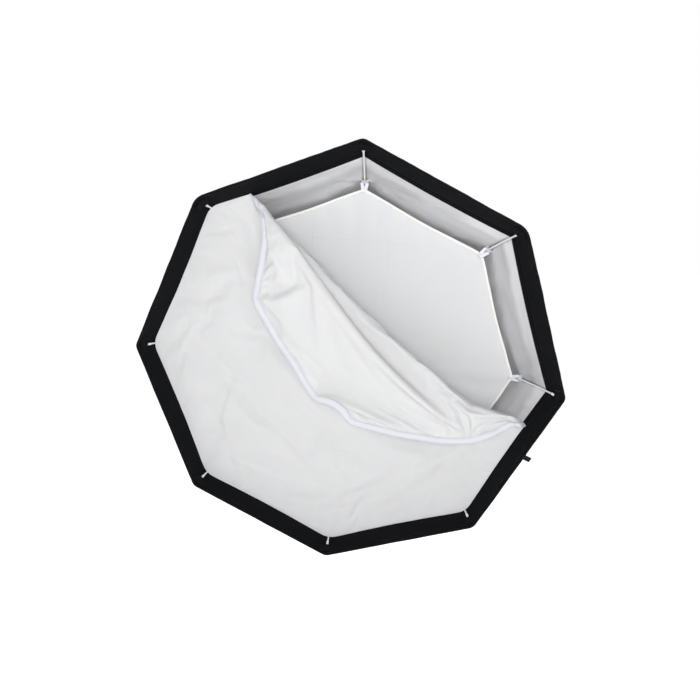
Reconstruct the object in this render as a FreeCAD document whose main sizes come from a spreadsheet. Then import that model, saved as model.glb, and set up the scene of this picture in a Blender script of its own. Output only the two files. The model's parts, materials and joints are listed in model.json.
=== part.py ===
import FreeCAD, Part
import math
import os

import Sketcher
from FreeCAD import Matrix, Placement, Rotation, Vector

# Octagonal studio softbox on a rotating three-lug bayonet insert.
# Origin: centre of the insert's seat face. +Z is up, the mouth faces -Y, the flash head sits on the +Y side.
# Corners count clockwise from the top one, seen from the front; panel N lies between corners N and N + 1.

CORNERS = 8
STEP = 360 / CORNERS

DIMENSIONS = {
    # bow of the rods, in a plane through the box's axis: an arc about a centre beyond the axis
    "bow_radius": 906.5,
    "bow_centre_across": -334.4,
    "bow_centre_front": 824.1,
    "bow_angle_rim": 27.5,
    "bow_angle_ring": 62,
    "rod_radius": 2,
    "rod_seat": 19.5,
    "rod_to_ridge": 6,
    "tip_inset": 24,
    "cap_radius": 2.8,
    "cap_length": 12,
    "cap_end": 2.5,
    "push_fit": 0.05,
    # sleeves sewn into the corners: how far from the rim they start, and how far they stand in or out
    "pocket_start": 22.5,
    "pocket_length": 16,
    "pocket_half": 26,
    "pocket_crown": 8.5,
    "pocket_in": 7.2,
    "pocket_out": 0.3,
    "pocket_thick": 1.1,
    "wall_tab_start": 131,
    "wall_tab_length": 10,
    "wall_tab_half": 7,
    "wall_tab_in": 4.5,
    "wall_tab_out": 1.2,
    # wall of one panel along its middle line
    "wall_radius": 881.3,
    "wall_centre_across": -358,
    "wall_centre_front": 779.2,
    "wall_angle_rim": 25.3,
    "wall_angle_ring": 60,
    "shell_thick": 1,
    "lining_thick": 0.5,
    "band_thick": 0.8,
    "band_width": 52,
    "tape_width": 12,
    "layer_gap": 0.2,
    # rim, outside seams and rear hem
    "rim_apothem": 440,
    "rim_width": 5.5,
    "rim_front": 404,
    "rim_deep": 2.5,
    "seam_width": 16,
    "seam_thick": 0.8,
    "seam_gap": 0.5,
    "hem_apothem": 87.5,
    "hem_width": 3,
    "hem_front": 16,
    "hem_deep": 2.8,
    "tag_size": 14,
    "tag_thick": 0.8,
    "tag_down": 21,
    # inner baffle
    "baffle_front": 291,
    "baffle_corner": 386,
    "baffle_thick": 0.8,
    "binding_width": 10,
    "binding_thick": 2.2,
    "tab_reach": 402,
    "tab_width": 16,
    "tab_thick": 1,
    "fork_half": 4.5,
    "fork_deep": 10,
    # front diffuser, peeled away across its upper right half
    "diffuser_front": 368,
    "diffuser_corner": 451.2,
    "diffuser_thick": 1,
    "diffuser_hem": 10,
    "hem_inset": 4,
    "notch_half": 5,
    "notch_bottom": 443,
    "peel_start": 0.32,
    "peel_end": 0.255,
    "fold_radius": 1530,
    "flap_front": 376,
    "flap_left_across": -221,
    "flap_left_up": 127,
    "flap_low_across": -62,
    "flap_low_up": -94,
    "flap_bottom_across": 20,
    "flap_bottom_up": -139,
    "flap_right_across": 244,
    "flap_right_up": -153,
    "flap_end_across": 354,
    "flap_end_up": -119,
    # bayonet insert
    "throat_radius": 45,
    "collar_radius": 48.5,
    "collar_length": 10,
    "lug_radius": 54,
    "lug_thick": 3.5,
    "lug_angle": 28,
    "seat_radius": 58,
    "insert_radius": 64,
    "insert_back": 4,
    "insert_front": 9,
    "groove_radius": 61.5,
    "groove_half": 1.6,
    "running_gap": 0.3,
    # speed ring and what is screwed to it
    "ring_radius": 80,
    "ring_bore": 72,
    "ring_front": 20,
    "ring_back": 1.5,
    "socket_radius": 3.2,
    "socket_depth": 21,
    "boss_radius": 6.2,
    "boss_length": 12,
    "retainer_bore": 56,
    "retainer_thick": 2.5,
    "screw_circle": 68,
    "screw_radius": 1.5,
    "screw_head": 2.8,
    "lock_radius": 2,
    "lock_length": 24,
    "pad_radius": 1.2,
    "pad_length": 4,
    "knob_radius": 6.5,
    "knob_length": 11,
}

doc = FreeCAD.newDocument("studio_softbox")
sheet = doc.addObject("Spreadsheet::Sheet", "dims")
for row, (alias, number) in enumerate(DIMENSIONS.items(), start=1):
    sheet.set(f"A{row}", alias)
    sheet.set(f"B{row}", str(number))
    sheet.setAlias(f"B{row}", alias)
doc.recompute()


def size(alias):
    """Number in the sheet under this alias."""
    return float(sheet.get(alias))


def named(text):
    """Expression with each driving dimension's alias spelled out as a cell of the sheet."""
    for alias in sorted(DIMENSIONS, key=len, reverse=True):
        text = text.replace(f"<{alias}>", f"dims.{alias}")
    return text


# ---------------------------------------------------------------- sketches and features


def new_body(label):
    body = doc.addObject("PartDesign::Body", label)
    body.Label = label
    return body


def new_sketch(body, name, role):
    sketch = body.newObject("Sketcher::SketchObject", name)
    plane = next(f for f in body.Origin.OriginFeatures if f.Role == role)
    sketch.AttachmentSupport = [(plane, "")]
    sketch.MapMode = "FlatFace"
    return sketch


def value(sketch, text):
    return float(sketch.evalExpression(named(text)))


def drive(sketch, kind, element, point, text):
    """Hold one coordinate, or a radius, of a sketch element at an expression of the sheet."""
    where = [element] if point is None else [element, point]
    number = sketch.addConstraint(Sketcher.Constraint(kind, *where, value(sketch, text)))
    sketch.setExpression(f"Constraints[{number}]", named(text))


def draw_loop(sketch, corners, bows=None):
    """Closed loop through corners. bows gives a side an arc: its radius, and +1 for a centre on its left."""
    bows = bows or {}
    places = [Vector(value(sketch, x), value(sketch, y), 0) for x, y in corners]
    sides = []
    for side, start in enumerate(places):
        end = places[(side + 1) % len(places)]
        if side not in bows:
            element = sketch.addGeometry(Part.LineSegment(start, end))
            sides.append((element, 1, 2))
            continue
        radius_text, left = bows[side]
        radius = value(sketch, radius_text)
        chord = end - start
        rise = math.sqrt(radius**2 - chord.Length**2 / 4)
        centre = start + chord / 2 + Vector(-chord.y, chord.x, 0).normalize() * rise * left
        angles = [math.atan2(p.y - centre.y, p.x - centre.x) for p in (start, end)]
        circle = Part.Circle(centre, Vector(0, 0, 1), radius)
        element = sketch.addGeometry(Part.ArcOfCircle(circle, *angles[::left]))
        sides.append((element, 1, 2) if left > 0 else (element, 2, 1))
    for side, (element, start, end) in enumerate(sides):
        follower, meets, _ = sides[(side + 1) % len(sides)]
        sketch.addConstraint(Sketcher.Constraint("Coincident", element, end, follower, meets))
    for side, (element, start, end) in enumerate(sides):
        drive(sketch, "DistanceX", element, start, corners[side][0])
        drive(sketch, "DistanceY", element, start, corners[side][1])
        if side in bows:
            drive(sketch, "Radius", element, None, bows[side][0])


def draw_circle(sketch, x, y, radius):
    centre = Vector(value(sketch, x), value(sketch, y), 0)
    element = sketch.addGeometry(Part.Circle(centre, Vector(0, 0, 1), value(sketch, radius)))
    drive(sketch, "DistanceX", element, 3, x)
    drive(sketch, "DistanceY", element, 3, y)
    drive(sketch, "Radius", element, None, radius)


def pad(body, sketch, length, both_sides=False):
    feature = body.newObject("PartDesign::Pad", sketch.Name + "_pad")
    feature.Profile = sketch
    feature.SideType = "Symmetric" if both_sides else "One side"
    feature.setExpression("Length", named(length))
    return feature


def pocket(body, sketch, length=None):
    """Cut along the sketch's normal, by a length or through all."""
    feature = body.newObject("PartDesign::Pocket", sketch.Name + "_pocket")
    feature.Profile = sketch
    feature.Reversed = True
    if length is None:
        feature.Type = "ThroughAll"
    else:
        feature.setExpression("Length", named(length))
    return feature


def revolve(body, sketch, axis, angle="360", cut=False):
    kind = "PartDesign::Groove" if cut else "PartDesign::Revolution"
    feature = body.newObject(kind, sketch.Name + "_turn")
    feature.Profile = sketch
    feature.ReferenceAxis = (sketch, [axis])
    feature.setExpression("Angle", named(angle))
    return feature


def around(body, feature, role, count):
    """Repeat a feature about one of the body's own axes."""
    pattern = body.newObject("PartDesign::PolarPattern", feature.Name + "_pattern")
    pattern.Originals = [feature]
    axis = next(f for f in body.Origin.OriginFeatures if f.Role == role)
    pattern.Axis = (axis, [""])
    pattern.Angle = 360
    pattern.Occurrences = count
    body.Tip = pattern


# ---------------------------------------------------------------- places


def turned(corner):
    """Turn about the box's axis that takes +X to the direction of this corner; halves are panel middles."""
    return Placement(Vector(), Rotation(Vector(0, 1, 0), STEP * (corner - 3)))


def on_bow(corner, angle):
    """Frame at the bow's centre: X points out through the bow at this angle, Y runs on towards the rim."""
    bend = math.radians(angle)
    out = Vector(math.cos(bend), math.sin(bend), 0)
    along = Vector(math.sin(bend), -math.cos(bend), 0)
    side = out.cross(along)
    matrix = Matrix(
        out.x, along.x, side.x, size("bow_centre_across"),
        out.y, along.y, side.y, -size("bow_centre_front"),
        out.z, along.z, side.z, 0,
        0, 0, 0, 1,
    )
    return turned(corner) * Placement(matrix)


def arc_angle(length):
    """Angle, in degrees, that a length takes along the rods' bow."""
    return f"({length}) / <bow_radius> * 180 / pi"


def arc_angle_number(length):
    return math.degrees(length / size("bow_radius"))


def group(label, members):
    """One node of several separate solids."""
    compound = doc.addObject("Part::Compound", label)
    compound.Label = label
    compound.Links = members
    return compound


# ---------------------------------------------------------------- rods and what sits on them


def make_rod(corner):
    """Spring-steel rod: a straight end for the socket, then one even bow to the rim."""
    body = new_body(f"rod_{corner}")
    section = new_sketch(body, f"rod_{corner}_section", "XZ_Plane")
    draw_circle(section, "<bow_radius>", "0", "<rod_radius>")
    sweep = f"<bow_angle_ring> - <bow_angle_rim> - {arc_angle('<tip_inset>')}"
    revolve(body, section, "V_Axis", sweep)
    pad(body, section, "<rod_seat>")
    body.Placement = on_bow(corner, size("bow_angle_ring"))
    return body


def make_cap(corner):
    """Blind cap pushed on the rod's tip."""
    body = new_body(f"rod_cap_{corner}")
    outside = new_sketch(body, f"cap_{corner}_outside", "XZ_Plane")
    draw_circle(outside, "<bow_radius>", "0", "<cap_radius>")
    revolve(body, outside, "V_Axis", arc_angle("<cap_length>"))
    bore = new_sketch(body, f"cap_{corner}_bore", "XZ_Plane")
    draw_circle(bore, "<bow_radius>", "0", "<rod_radius> + <push_fit>")
    revolve(body, bore, "V_Axis", arc_angle("<cap_length> - <cap_end>"), cut=True)
    start = size("tip_inset") + size("cap_length") - size("cap_end") - size("layer_gap")
    body.Placement = on_bow(corner, size("bow_angle_rim") + arc_angle_number(start))
    return body


def make_saddle(label, corner, outline, bore, kind):
    """Sewn sleeve that bridges the corner over the rod. kind names its start and length in the sheet."""
    body = new_body(label)
    section = new_sketch(body, label + "_section", "XZ_Plane")
    draw_loop(section, outline)
    revolve(body, section, "V_Axis", arc_angle(f"<{kind}_length>"))
    tunnel = new_sketch(body, label + "_tunnel", "XZ_Plane")
    draw_circle(tunnel, "<bow_radius>", "0", bore)
    revolve(body, tunnel, "V_Axis", arc_angle(f"<{kind}_length>"), cut=True)
    body.Placement = on_bow(corner, size("bow_angle_rim") + arc_angle_number(size(f"{kind}_start")))
    return body


def make_corner_pocket(corner):
    edge, crest = "<bow_radius> - <pocket_in>", "<bow_radius> + <pocket_out>"
    outline = [
        (edge, "-<pocket_half>"),
        (edge + " + <pocket_thick>", "-<pocket_half>"),
        (crest, "-<pocket_crown>"),
        (crest, "<pocket_crown>"),
        (edge + " + <pocket_thick>", "<pocket_half>"),
        (edge, "<pocket_half>"),
    ]
    bore = "<cap_radius> + 3 * <push_fit>"
    return make_saddle(f"corner_pocket_{corner}", corner, outline, bore, "pocket")


def make_wall_tab(corner):
    inside, outside = "<bow_radius> - <wall_tab_in>", "<bow_radius> + <wall_tab_out>"
    outline = [
        (inside, "-<wall_tab_half>"),
        (outside, "-<wall_tab_half>"),
        (outside, "<wall_tab_half>"),
        (inside, "<wall_tab_half>"),
    ]
    bore = "<rod_radius> + <layer_gap>"
    return make_saddle(f"wall_tab_{corner}", corner, outline, bore, "wall_tab")


def make_socket(corner):
    """Blind steel ferrule that the rod's straight end plugs into."""
    body = new_body(f"rod_socket_{corner}")
    outside = new_sketch(body, f"socket_{corner}_outside", "XZ_Plane")
    draw_circle(outside, "<bow_radius>", "0", "<socket_radius>")
    pad(body, outside, "<socket_depth>")
    bore = new_sketch(body, f"socket_{corner}_bore", "XZ_Plane")
    draw_circle(bore, "<bow_radius>", "0", "<rod_radius> + <push_fit>")
    pocket(body, bore, "<socket_depth> - 1")
    body.Placement = on_bow(corner, size("bow_angle_ring"))
    return body


def make_seam_tape(corner):
    """Tape over the outside seam, along the whole ridge."""
    body = new_body(f"seam_tape_{corner}")
    section = new_sketch(body, f"seam_{corner}_section", "XZ_Plane")
    inside = "<bow_radius> + <rod_to_ridge> + <seam_gap>"
    outline = [
        (inside, "-<seam_width> / 2"),
        (inside + " + <seam_thick>", "-<seam_width> / 2"),
        (inside + " + <seam_thick>", "<seam_width> / 2"),
        (inside, "<seam_width> / 2"),
    ]
    draw_loop(section, outline)
    revolve(body, section, "V_Axis", "<bow_angle_ring> - <bow_angle_rim>")
    body.Placement = on_bow(corner, size("bow_angle_ring"))
    return body


# ---------------------------------------------------------------- walls


def wall_point(depth, angle):
    """Point of a panel's middle line, this deep inside the outer face and at this angle of its arc."""
    radius = f"(<wall_radius> - ({depth}))"
    across = f"<wall_centre_across> + {radius} * cos({angle})"
    along = f"-<wall_centre_front> + {radius} * sin({angle})"
    return across, along


def wall_angle(distance):
    """Angle of the wall's arc at this distance from the rim."""
    return f"(<wall_angle_rim> + ({distance}) / <wall_radius> * 180 / pi)"


def make_gore(label, panel, depth, thick, near, far):
    """One layer of one panel: a single-curved gore cut to the octagon's wedge."""
    body = new_body(label)
    section = new_sketch(body, label + "_section", "XY_Plane")
    inner = f"{depth} + {thick}"
    outline = [
        wall_point(depth, near),
        wall_point(depth, far),
        wall_point(inner, far),
        wall_point(inner, near),
    ]
    radii = {0: (f"<wall_radius> - ({depth})", 1), 2: (f"<wall_radius> - ({inner})", -1)}
    draw_loop(section, outline, radii)
    pad(body, section, "2 * <rim_apothem> * tan(24)", both_sides=True)
    wedge = new_sketch(body, label + "_wedge", "XZ_Plane")
    near_edge, far_edge, wide = "10", "<rim_apothem> + 40", "<rim_apothem> / 2 + 10"
    for sign in ("", "-"):
        draw_loop(
            wedge,
            [
                (near_edge, f"{sign}{near_edge} * tan(22.5)"),
                (far_edge, f"{sign}({far_edge}) * tan(22.5)"),
                (far_edge, f"{sign}({wide})"),
                (near_edge, f"{sign}({wide})"),
            ],
        )
    pocket(body, wedge)
    body.Placement = turned(panel + 0.5)
    return body


SHELL_DEPTH = "0"
INSIDE = "<shell_thick> + <layer_gap>"
ON_BAND = INSIDE + " + <band_thick> + <layer_gap>"
RIM = "<wall_angle_rim>"
RING = "<wall_angle_ring>"
BAND_EDGE = wall_angle("<band_width>")
TAPE_EDGE = wall_angle("<band_width> - <tape_width>")


def octagon(corner_radius):
    """The eight corners of a regular octagon with a corner at the top, in the XZ plane."""
    return [
        (f"({corner_radius}) * sin({STEP * n})", f"({corner_radius}) * cos({STEP * n})")
        for n in range(CORNERS)
    ]


def make_plate(label, corners, thick, front, bows=None):
    """Flat piece across the box, from this distance in front of the seat forwards."""
    body = new_body(label)
    sketch = new_sketch(body, label + "_outline", "XZ_Plane")
    draw_loop(sketch, corners, bows)
    pad(body, sketch, thick)
    body.setExpression("Placement.Base.y", named(f"-({front})"))
    return body


def make_edge_strip(label, outer, width, thick, front):
    """Eight mitred lengths of tape that make one octagonal edge, from this distance in front of the seat."""
    sides = []
    for side in range(1, CORNERS + 1):
        body = new_body(f"{label}_{side}")
        sketch = new_sketch(body, f"{label}_{side}_outline", "XZ_Plane")
        inner = f"({outer} - {width})"
        corners = [
            (inner, f"-{inner} * tan(22.5)"),
            (outer, f"-{outer} * tan(22.5)"),
            (outer, f"{outer} * tan(22.5)"),
            (inner, f"{inner} * tan(22.5)"),
        ]
        draw_loop(sketch, corners)
        pad(body, sketch, thick)
        forward = Placement(Vector(0, -value(sketch, front), 0), Rotation())
        body.Placement = forward * turned(side + 0.5)
        sides.append(body)
    return group(label, sides)


def make_edges():
    rim = make_edge_strip("rim_binding", "<rim_apothem>", "<rim_width>", "<rim_deep>", "<rim_front>")
    back = "<hem_front> - <hem_deep>"
    hem = make_edge_strip("rear_hem", "<hem_apothem>", "<hem_width>", "<hem_deep>", back)
    baffle_edge = "<baffle_corner> * cos(22.5)"
    binding = make_edge_strip(
        "baffle_binding", f"({baffle_edge})", "<binding_width>", "<binding_thick>", "<baffle_front>"
    )
    return [rim, hem, binding]


def make_size_tag():
    """Blank fabric tag caught in the rim seam, low on the right-hand side."""
    tag = doc.addObject("Part::Box", "size_tag")
    tag.Label = "size_tag"
    tag.setExpression("Length", named("<tag_size>"))
    tag.setExpression("Height", named("<tag_size> - 2"))
    tag.setExpression("Width", named("<tag_thick>"))
    beside = Vector(size("rim_apothem") + 0.3, -size("rim_front") - 1.5, size("tag_down"))
    tag.Placement = turned(3.5) * Placement(beside, Rotation())
    return tag


# ---------------------------------------------------------------- baffle and diffuser


def make_baffle():
    inside = "<baffle_corner> - <binding_width> / cos(22.5) - 0.2"
    middle = "<baffle_front> + (<binding_thick> - <baffle_thick>) / 2"
    return make_plate("baffle_sheet", octagon(inside), "<baffle_thick>", middle)


def make_baffle_tab(corner):
    """Strap from a baffle corner, forked round the rod."""
    body = new_body(f"baffle_tab_{corner}")
    sketch = new_sketch(body, f"baffle_tab_{corner}_outline", "XZ_Plane")
    foot, reach, half = "<baffle_corner> + 0.3", "<tab_reach>", "<tab_width> / 2"
    shoulder = f"{reach} - ({half} - <fork_half>)"
    corners = [
        (foot, f"-{half} / 2"),
        (shoulder, f"-{half}"),
        (reach, "-<fork_half>"),
        (reach + " - <fork_deep>", "0"),
        (reach, "<fork_half>"),
        (shoulder, half),
        (foot, f"{half} / 2"),
    ]
    draw_loop(sketch, corners)
    pad(body, sketch, "<tab_thick>")
    forward = Placement(Vector(0, -size("baffle_front") - 0.6, 0), Rotation())
    body.Placement = forward * turned(corner)
    return body


def peel_ends(corner_radius):
    """The two points where the diffuser still meets its tape at the ends of the fold."""
    start = (
        f"-({corner_radius}) * sin(45) * (1 - <peel_start>)",
        f"({corner_radius}) * (cos(45) + <peel_start> * (1 - cos(45)))",
    )
    end = (
        f"({corner_radius}) * (1 - <peel_end> * (1 - cos(45)))",
        f"-({corner_radius}) * <peel_end> * sin(45)",
    )
    return start, end


def notched(corner_radius):
    """The attached corners, from the fourth to the eighth, each notched to let its rod through."""
    places = []
    shoulder = f"({corner_radius}) - <notch_half> * tan(22.5)"
    for corner in range(4, CORNERS + 1):
        turn = STEP * (corner - 1)
        sides = [
            (shoulder, "-<notch_half>"),
            ("<notch_bottom>", "-<notch_half>"),
            ("<notch_bottom>", "<notch_half>"),
            (shoulder, "<notch_half>"),
        ]
        for out, beside in sides:
            across = f"({out}) * sin({turn}) + ({beside}) * cos({turn})"
            up = f"({out}) * cos({turn}) - ({beside}) * sin({turn})"
            places.append((across, up))
    return places


def make_diffuser():
    start, end = peel_ends("<diffuser_corner>")
    attached = notched("<diffuser_corner>")
    fold = {0: ("<fold_radius>", 1)}
    behind = "<diffuser_front> - <diffuser_thick>"
    plate = make_plate(
        "diffuser_sheet", [start, end] + attached, "<diffuser_thick>", behind, fold
    )
    hem_outer = "<diffuser_corner> - <hem_inset>"
    hem_inner = "<diffuser_corner> - <hem_inset> - <diffuser_hem>"
    outer_start, outer_end = peel_ends(hem_outer)
    inner_start, inner_end = peel_ends(hem_inner)
    around_hem = [outer_end] + notched(hem_outer) + [outer_start, inner_start]
    around_hem += octagon(hem_inner)[:2:-1] + [inner_end]
    back = behind + " - <diffuser_thick> - <layer_gap>"
    hem = make_plate("diffuser_hem", around_hem, "<diffuser_thick>", back)
    flap_corners = [start, end]
    for spot in ("end", "right", "bottom", "low", "left"):
        flap_corners.append((f"<flap_{spot}_across>", f"<flap_{spot}_up>"))
    flap = make_plate("diffuser_flap", flap_corners, "<diffuser_thick>", "<flap_front>", fold)
    return [plate, hem, flap]


# ---------------------------------------------------------------- bayonet, speed ring, locks


def make_insert():
    """Bayonet insert: collar and lugs behind the seat, and a grooved rim that turns in the speed ring."""
    body = new_body("bayonet_insert")
    section = new_sketch(body, "insert_section", "XY_Plane")
    middle = "-(<insert_front> + <insert_back>) / 2"
    outline = [
        ("<throat_radius>", "-<insert_front>"),
        ("<insert_radius>", "-<insert_front>"),
        ("<insert_radius>", middle + " - <groove_half>"),
        ("<groove_radius>", middle + " - <groove_half>"),
        ("<groove_radius>", middle + " + <groove_half>"),
        ("<insert_radius>", middle + " + <groove_half>"),
        ("<insert_radius>", "-<insert_back>"),
        ("<seat_radius>", "-<insert_back>"),
        ("<seat_radius>", "0"),
        ("<collar_radius>", "0"),
        ("<collar_radius>", "<collar_length>"),
        ("<throat_radius>", "<collar_length>"),
    ]
    draw_loop(section, outline)
    revolve(body, section, "V_Axis")
    lug = new_sketch(body, "insert_lug", "XY_Plane")
    lug_outline = [
        ("<collar_radius> - 1", "<collar_length> - <lug_thick>"),
        ("<lug_radius>", "<collar_length> - <lug_thick>"),
        ("<lug_radius>", "<collar_length>"),
        ("<collar_radius> - 1", "<collar_length>"),
    ]
    draw_loop(lug, lug_outline)
    lug_turn = revolve(body, lug, "V_Axis", "<lug_angle>")
    around(body, lug_turn, "Y_Axis", 3)
    return body


def make_cylinder(name, radius, length, base, direction, turn):
    """Round bar from base, along direction in the +X half plane, then turned about the box's axis."""
    bar = doc.addObject("Part::Cylinder", name)
    bar.setExpression("Radius", named(radius))
    bar.setExpression("Height", named(length))
    bar.Placement = turned(turn) * Placement(base, Rotation(Vector(0, 0, 1), direction))
    return bar


LOCK_PANELS = [0.5, 2.5, 4.5, 6.5]
SCREW_PANELS = [1.5, 3.5, 5.5, 7.5]
LOCK_BACK = -(size("insert_front") + size("insert_back")) / 2


def make_speedring():
    """Cast ring with a boss for each rod, seats for the insert and retainer, and tapped holes."""
    blank = new_body("speedring_blank")
    section = new_sketch(blank, "speedring_section", "XY_Plane")
    seat_front = "-<insert_front> - <running_gap>"
    seat_back = "-<insert_back> + <running_gap>"
    outline = [
        ("<seat_radius> + <running_gap>", "-<ring_back>"),
        ("<ring_radius>", "-<ring_back>"),
        ("<ring_radius>", "-<ring_front>"),
        ("<ring_bore>", "-<ring_front>"),
        ("<ring_bore>", seat_front),
        ("<insert_radius> + <running_gap>", seat_front),
        ("<insert_radius> + <running_gap>", seat_back),
        ("<seat_radius> + <running_gap>", seat_back),
    ]
    draw_loop(section, outline)
    revolve(blank, section, "V_Axis")
    bend = math.radians(size("bow_angle_ring"))
    along = Vector(math.sin(bend), -math.cos(bend), 0)
    centre = Vector(size("bow_centre_across"), -size("bow_centre_front"), 0)
    mouth = centre + Vector(math.cos(bend), math.sin(bend), 0) * size("bow_radius")
    bottom = mouth - along * size("socket_depth")
    bosses = []
    holes = []
    for corner in range(1, CORNERS + 1):
        name = f"boss_{corner}"
        start = bottom - along * 2
        bosses.append(make_cylinder(name, "<boss_radius>", "<boss_length>", start, along, corner))
        name = f"socket_bore_{corner}"
        holes.append(make_cylinder(name, "<socket_radius> + <push_fit>", "40", bottom, along, corner))
    outward, backward = Vector(1, 0, 0), Vector(0, 1, 0)
    ahead = Vector(0, -2 * size("ring_front"), 0)
    clear_length = "2 * <ring_front> - <insert_front> - <running_gap>"
    holes.append(make_cylinder("bore_clear", "<ring_bore>", clear_length, ahead, backward, 3))
    for panel in LOCK_PANELS:
        base = Vector(size("seat_radius") + 4, LOCK_BACK, 0)
        name = f"lock_bore_{int(panel)}"
        holes.append(make_cylinder(name, "<lock_radius> + 0.1", "30", base, outward, panel))
    for panel in SCREW_PANELS:
        base = Vector(size("screw_circle"), -size("insert_front") - 1, 0)
        name = f"screw_bore_{int(panel)}"
        holes.append(make_cylinder(name, "<screw_radius> + 0.05", "6.5", base, backward, panel))
    cast = doc.addObject("Part::MultiFuse", "speedring_cast")
    cast.Shapes = [blank] + bosses
    drills = doc.addObject("Part::MultiFuse", "speedring_drills")
    drills.Shapes = holes
    ring = doc.addObject("Part::Cut", "speedring")
    ring.Label = "speedring"
    ring.Base = cast
    ring.Tool = drills
    return ring


def make_retaining_ring():
    """Flat ring that keeps the insert's rim in its seat."""
    body = new_body("retaining_ring")
    section = new_sketch(body, "retainer_section", "XY_Plane")
    back = "-<insert_front> - <running_gap>"
    outline = [
        ("<retainer_bore>", back + " - <retainer_thick>"),
        ("<ring_bore> - 0.2", back + " - <retainer_thick>"),
        ("<ring_bore> - 0.2", back),
        ("<retainer_bore>", back),
    ]
    draw_loop(section, outline)
    revolve(body, section, "V_Axis")
    hole = new_sketch(body, "retainer_hole", "XZ_Plane")
    draw_circle(hole, "<screw_circle> * cos(22.5)", "-<screw_circle> * sin(22.5)", "<screw_radius> + 0.2")
    around(body, pocket(body, hole), "Y_Axis", len(SCREW_PANELS))
    return body


def make_retaining_screw(panel):
    body = new_body(f"retaining_screw_{int(panel)}")
    section = new_sketch(body, f"retaining_screw_{int(panel)}_section", "XY_Plane")
    under_head = "-<insert_front> - <running_gap> - <retainer_thick>"
    outline = [
        ("0", under_head + " - 1.6"),
        ("<screw_head>", under_head + " - 1.6"),
        ("<screw_head>", under_head),
        ("<screw_radius>", under_head),
        ("<screw_radius>", "-<insert_back>"),
        ("0", "-<insert_back>"),
    ]
    draw_loop(section, outline)
    revolve(body, section, "V_Axis")
    out = Placement(Vector(size("screw_circle"), 0, 0), Rotation())
    body.Placement = turned(panel) * out
    return body


def make_lock(number, panel):
    """Clamp screw: a thrust pad in the insert's groove, the screw behind it, and the knob on its end."""
    place = turned(panel) * Placement(Vector(0, LOCK_BACK, 0), Rotation())
    pad_start = "<groove_radius> + 0.4"
    pad_end = pad_start + " + <pad_length>"
    screw_start = pad_end + " + 0.1"
    screw_end = screw_start + " + <lock_length>"
    knob_start = screw_end + " - 4"
    profiles = {
        f"lock_pad_{number}": [
            (pad_start, "0"),
            (pad_end, "0"),
            (pad_end, "<pad_radius>"),
            (pad_start, "<pad_radius>"),
        ],
        f"lock_screw_{number}": [
            (screw_start, "0"),
            (screw_end, "0"),
            (screw_end, "<lock_radius>"),
            (screw_start, "<lock_radius>"),
        ],
        f"lock_knob_{number}": [
            (screw_end + " + 0.1", "0"),
            (knob_start + " + <knob_length>", "0"),
            (knob_start + " + <knob_length>", "<knob_radius> - 1"),
            (knob_start + " + <knob_length> - 1", "<knob_radius>"),
            (knob_start + " + 1", "<knob_radius>"),
            (knob_start, "<knob_radius> - 1"),
            (knob_start, "<lock_radius> + 0.05"),
            (screw_end + " + 0.1", "<lock_radius> + 0.05"),
        ],
    }
    bodies = []
    for label, outline in profiles.items():
        body = new_body(label)
        section = new_sketch(body, label + "_section", "XY_Plane")
        draw_loop(section, outline)
        revolve(body, section, "H_Axis")
        body.Placement = place
        bodies.append(body)
    knob = bodies[-1]
    flute = new_sketch(knob, f"knob_flute_{number}", "YZ_Plane")
    draw_circle(flute, "<knob_radius> + 1.4", "0", "2.4")
    around(knob, pocket(knob, flute), "X_Axis", 6)
    return bodies


# ---------------------------------------------------------------- assembly

numbers = range(1, CORNERS + 1)
nodes = [make_insert(), make_speedring(), make_retaining_ring()]
nodes.append(group("retaining_screws", [make_retaining_screw(panel) for panel in SCREW_PANELS]))
nodes.append(group("rod_sockets", [make_socket(corner) for corner in numbers]))
for number, panel in enumerate(LOCK_PANELS, start=1):
    nodes += make_lock(number, panel)
nodes += [make_rod(corner) for corner in numbers]
nodes.append(group("rod_caps", [make_cap(corner) for corner in numbers]))
nodes.append(group("corner_pockets", [make_corner_pocket(corner) for corner in numbers]))
nodes.append(group("wall_tabs", [make_wall_tab(corner) for corner in numbers]))
nodes.append(group("seam_tapes", [make_seam_tape(corner) for corner in numbers]))
for panel in numbers:
    nodes.append(make_gore(f"shell_panel_{panel}", panel, SHELL_DEPTH, "<shell_thick>", RIM, RING))
    nodes.append(make_gore(f"lining_panel_{panel}", panel, INSIDE, "<lining_thick>", BAND_EDGE, RING))
band = [make_gore(f"lip_band_{n}", n, INSIDE, "<band_thick>", RIM, BAND_EDGE) for n in numbers]
nodes.append(group("lip_band", band))
tape = [make_gore(f"loop_tape_{n}", n, ON_BAND, "<band_thick>", TAPE_EDGE, BAND_EDGE) for n in numbers]
nodes.append(group("loop_tape", tape))
nodes += make_edges()
nodes += [make_size_tag(), make_baffle()]
nodes.append(group("baffle_tabs", [make_baffle_tab(corner) for corner in numbers]))
nodes += make_diffuser()
doc.recompute()

for item in doc.Objects:
    if {"Invalid", "Error"} & set(item.State):
        raise RuntimeError(f"{item.Label} did not compute: {item.State}")
for node in nodes:
    if node.Shape.isNull() or not node.Shape.isValid():
        raise RuntimeError(f"{node.Label} has no valid shape")

os.makedirs("parts", exist_ok=True)
for node in nodes:
    node.Shape.exportStep(f"parts/{node.Label}.step")
    box = node.Shape.BoundBox
    print(f"{node.Label}: {len(node.Shape.Solids)} solids, {node.Shape.Volume / 1000:.2f} cm3,"
          f" Y {box.YMin:.1f} to {box.YMax:.1f}")
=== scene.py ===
import json
import math

import bpy
from mathutils import Matrix, Vector, noise
from mathutils.geometry import delaunay_2d_cdt

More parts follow.
